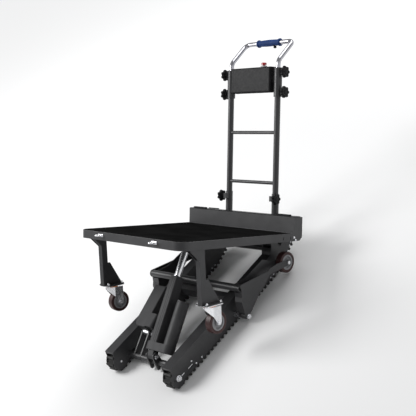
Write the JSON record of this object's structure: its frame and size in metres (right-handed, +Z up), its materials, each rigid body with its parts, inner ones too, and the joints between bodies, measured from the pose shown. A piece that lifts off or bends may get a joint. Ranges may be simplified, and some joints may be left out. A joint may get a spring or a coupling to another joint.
{
  "type": "stair climbing hand truck",
  "caption": "Powered stair climbing hand truck: level deck on a tilting frame over two toothed rubber tracks, with lift arms, swivel casters and a telescopic handle.",
  "frame": {"origin": "middle of the bounding box on the ground below the flat tracks", "axes": "+X to the right across the truck, +Y from the tracks' front end to the handle, +Z up"},
  "size_m": [0.796, 1.6921, 0.8993],
  "materials": {
    "powder_coat": "satin black powder coat on steel",
    "belt_rubber": "matt moulded rubber",
    "rail_plastic": "matt slide plastic",
    "drum_iron": "blackened casting",
    "motor_black": "satin black paint",
    "actuator_black": "black anodised extrusion",
    "chrome": "polished hard chrome",
    "zinc": "bright zinc plate",
    "tyre_brown": "dark red brown polyurethane",
    "hub_grey": "grey moulded nylon",
    "seal_orange": "orange seal",
    "mat_rubber": "ribbed rubber",
    "black_plastic": "fine grained moulding",
    "battery_case": "matt battery case",
    "stop_red": "gloss red moulding",
    "stop_grey": "grey moulding",
    "grip_blue": "soft blue grip"
  },
  "bodies": {
    "chassis": {"left_track_beam": "powder_coat", "right_track_beam": "powder_coat", "left_track_belt": "belt_rubber", "right_track_belt": "belt_rubber", "belt_rails": "rail_plastic", "chassis_pins": "zinc", "chassis_bolts": "zinc", "front_cross_frame": "powder_coat", "rear_cross_members": "powder_coat", "left_drive_motor": "motor_black", "right_drive_motor": "motor_black"},
    "lift_arms": {"left_lift_arm": "powder_coat", "right_lift_arm": "powder_coat", "lift_cross_tube": "powder_coat", "rear_wheel_bolts": "zinc"},
    "lift_rod": {"lift_rod": "chrome"},
    "lift_barrel": {"lift_barrel": "actuator_black"},
    "tilt_actuator": {"tilt_gearbox": "actuator_black", "tilt_tube": "actuator_black", "tilt_motor": "motor_black"},
    "tilt_rod": {"tilt_rod": "chrome"},
    "platform": {"platform_tray": "powder_coat", "deck_mat": "mat_rubber", "platform_frame": "powder_coat", "left_leg": "powder_coat", "right_leg": "powder_coat", "caster_plates": "zinc", "bearing_seals": "seal_orange", "strap_eyes": "zinc", "battery_box": "powder_coat", "battery_pack": "battery_case", "mast_base": "powder_coat", "mast_frame": "powder_coat", "control_box": "black_plastic", "stop_collar": "stop_grey"},
    "battery_lid": {"battery_lid": "black_plastic"},
    "handle": {"handle_tube": "chrome", "handle_grip": "grip_blue"},
    "grip_button": {"grip_button": "black_plastic"},
    "stop_button": {"stop_button": "stop_red"},
    "left_front_drum": {"left_front_drum": "drum_iron"},
    "left_rear_sprocket": {"left_rear_sprocket": "drum_iron"},
    "left_rear_wheel": {"left_rear_tyre": "tyre_brown", "left_rear_hub": "hub_grey"},
    "left_caster": {"left_caster_fork": "zinc"},
    "left_caster_wheel": {"left_caster_tyre": "tyre_brown", "left_caster_hub": "hub_grey"},
    "left_base_knob": {"left_base_knob": "black_plastic"},
    "left_middle_knob": {"left_middle_knob": "black_plastic"},
    "left_top_knob": {"left_top_knob": "black_plastic"},
    "right_front_drum": {"right_front_drum": "drum_iron"},
    "right_rear_sprocket": {"right_rear_sprocket": "drum_iron"},
    "right_rear_wheel": {"right_rear_tyre": "tyre_brown", "right_rear_hub": "hub_grey"},
    "right_caster": {"right_caster_fork": "zinc"},
    "right_caster_wheel": {"right_caster_tyre": "tyre_brown", "right_caster_hub": "hub_grey"},
    "right_base_knob": {"right_base_knob": "black_plastic"},
    "right_middle_knob": {"right_middle_knob": "black_plastic"},
    "right_top_knob": {"right_top_knob": "black_plastic"}
  },
  "joints": [
    {"name": "platform_tilt", "type": "hinge", "parent": "chassis", "child": "platform", "pos_m": [0, 0.0582, 0.154], "axis": [1, 0, 0], "range_deg": [0, 22]},
    {"name": "tilt_swing", "type": "hinge", "parent": "chassis", "child": "tilt_actuator", "pos_m": [0.015, -0.7358, 0.079], "axis": [1, 0, 0], "range_deg": [-10, 0]},
    {"name": "tilt_extend", "type": "slide", "parent": "tilt_actuator", "child": "tilt_rod", "axis": [0, 0.8532, 0.5216], "range_m": [-0.117, 0]},
    {"name": "arm_lift", "type": "hinge", "parent": "chassis", "child": "lift_arms", "pos_m": [0, -0.3458, 0.0425], "axis": [-1, 0, 0], "range_deg": [0, 34]},
    {"name": "lift_swing", "type": "hinge", "parent": "chassis", "child": "lift_rod", "pos_m": [-0.11, -0.6248, 0.101], "axis": [1, 0, 0], "range_deg": [-4.3, 0]},
    {"name": "lift_extend", "type": "slide", "parent": "lift_rod", "child": "lift_barrel", "axis": [0, 0.9544, 0.2985], "range_m": [0, 0.079]},
    {"name": "lid_hinge", "type": "hinge", "parent": "platform", "child": "battery_lid", "pos_m": [0, 0.17926, 0.24751], "axis": [-1, 0, 0], "range_deg": [0, 80]},
    {"name": "handle_slide", "type": "slide", "parent": "platform", "child": "handle", "axis": [0, 0.5821, 0.8131], "range_m": [0, 0.3]},
    {"name": "grip_button_press", "type": "slide", "parent": "handle", "child": "grip_button", "axis": [0, 0.5821, 0.8131], "range_m": [0, 0.003], "stiffness_N_per_m": 400, "springref_m": -0.001},
    {"name": "stop_button_press", "type": "slide", "parent": "platform", "child": "stop_button", "axis": [0, -0.5821, -0.8131], "range_m": [0, 0.004], "stiffness_N_per_m": 800, "springref_m": -0.002},
    {"name": "left_sprocket_spin", "type": "hinge", "parent": "chassis", "child": "left_rear_sprocket", "pos_m": [-0.212, 0.17345, 0.10613], "axis": [1, 0, 0], "continuous": true},
    {"name": "left_drum_spin", "type": "hinge", "parent": "chassis", "child": "left_front_drum", "pos_m": [-0.212, -0.7958, 0.051], "axis": [1, 0, 0], "continuous": true},
    {"name": "left_rear_wheel_spin", "type": "hinge", "parent": "lift_arms", "child": "left_rear_wheel", "pos_m": [-0.302, 0.0222, 0.0715], "axis": [1, 0, 0], "continuous": true},
    {"name": "left_caster_swivel", "type": "hinge", "parent": "platform", "child": "left_caster", "pos_m": [-0.358, -0.52825, 0.29467], "axis": [0, 0.512, 0.859], "continuous": true},
    {"name": "left_caster_spin", "type": "hinge", "parent": "left_caster", "child": "left_caster_wheel", "pos_m": [-0.35404, -0.54548, 0.19784], "axis": [0.9936, -0.0972, 0.058], "continuous": true},
    {"name": "left_base_knob_turn", "type": "hinge", "parent": "platform", "child": "left_base_knob", "pos_m": [-0.177, 0.23505, 0.29796], "axis": [1, 0, 0], "range_deg": [-720, 0]},
    {"name": "left_middle_knob_turn", "type": "hinge", "parent": "platform", "child": "left_middle_knob", "pos_m": [-0.194, 0.57548, 0.7245], "axis": [1, 0, 0], "range_deg": [-720, 0]},
    {"name": "left_top_knob_turn", "type": "hinge", "parent": "platform", "child": "left_top_knob", "pos_m": [-0.194, 0.63486, 0.80744], "axis": [1, 0, 0], "range_deg": [-720, 0]},
    {"name": "right_sprocket_spin", "type": "hinge", "parent": "chassis", "child": "right_rear_sprocket", "pos_m": [0.212, 0.17345, 0.10613], "axis": [1, 0, 0], "continuous": true},
    {"name": "right_drum_spin", "type": "hinge", "parent": "chassis", "child": "right_front_drum", "pos_m": [0.212, -0.7958, 0.051], "axis": [1, 0, 0], "continuous": true},
    {"name": "right_rear_wheel_spin", "type": "hinge", "parent": "lift_arms", "child": "right_rear_wheel", "pos_m": [0.302, 0.0222, 0.0715], "axis": [1, 0, 0], "continuous": true},
    {"name": "right_caster_swivel", "type": "hinge", "parent": "platform", "child": "right_caster", "pos_m": [0.358, -0.52825, 0.29467], "axis": [0, 0.512, 0.859], "continuous": true},
    {"name": "right_caster_spin", "type": "hinge", "parent": "right_caster", "child": "right_caster_wheel", "pos_m": [0.358, -0.54529, 0.19773], "axis": [1, 0, 0], "continuous": true},
    {"name": "right_base_knob_turn", "type": "hinge", "parent": "platform", "child": "right_base_knob", "pos_m": [0.177, 0.23505, 0.29796], "axis": [1, 0, 0], "range_deg": [0, 720]},
    {"name": "right_middle_knob_turn", "type": "hinge", "parent": "platform", "child": "right_middle_knob", "pos_m": [0.194, 0.57548, 0.7245], "axis": [1, 0, 0], "range_deg": [0, 720]},
    {"name": "right_top_knob_turn", "type": "hinge", "parent": "platform", "child": "right_top_knob", "pos_m": [0.194, 0.63486, 0.80744], "axis": [1, 0, 0], "range_deg": [0, 720]}
  ],
  "couplings": [
    {"joint": "tilt_swing", "follows": "platform_tilt", "ratio": -0.4508},
    {"joint": "tilt_extend", "follows": "platform_tilt", "m_per_rad": -0.30202},
    {"joint": "lift_swing", "follows": "arm_lift", "ratio": -0.12628},
    {"joint": "lift_extend", "follows": "arm_lift", "m_per_rad": 0.13258},
    {"joint": "left_drum_spin", "follows": "left_sprocket_spin", "ratio": 1},
    {"joint": "right_drum_spin", "follows": "right_sprocket_spin", "ratio": 1}
  ]
}
